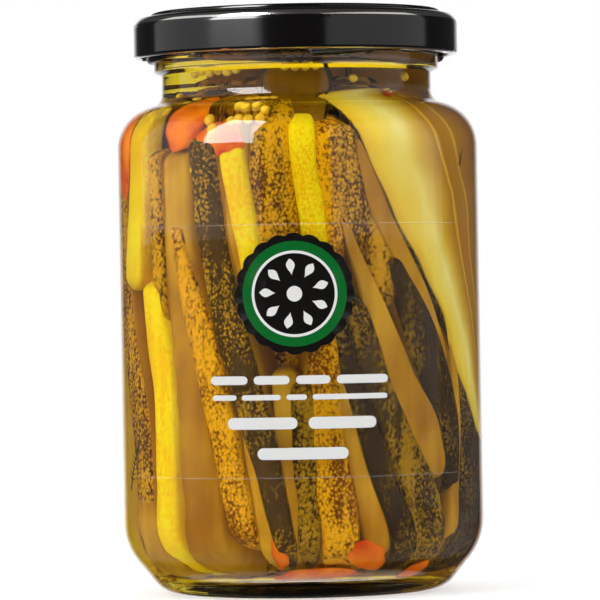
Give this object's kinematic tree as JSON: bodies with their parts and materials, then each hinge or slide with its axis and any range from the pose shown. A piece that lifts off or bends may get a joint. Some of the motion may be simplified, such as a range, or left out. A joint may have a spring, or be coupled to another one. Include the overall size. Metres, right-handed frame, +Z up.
{
  "type": "pickle jar",
  "caption": "Round clear glass jar with a rounded shoulder, a lugged neck and a pressed twist-off lid, filled with sliced cucumber pickles in brine.",
  "frame": {"origin": "centre of the base ring, on the surface that the jar stands on", "axes": "+Z up along the jar's axis, -Y towards the label's side"},
  "size_m": [0.082, 0.0821, 0.132],
  "materials": {
    "glass": "clear, smooth",
    "lid_lacquer": "glossy black lacquer",
    "lid_seal": "smooth, off-white",
    "brine": "clear yellow liquid with its contents",
    "label_film": "clear printed film"
  },
  "bodies": {
    "root": {"glass_jar": "glass", "lid": "lid_lacquer", "lid_seal": "lid_seal", "brine": "brine", "label_film": "label_film"}
  },
  "joints": []
}
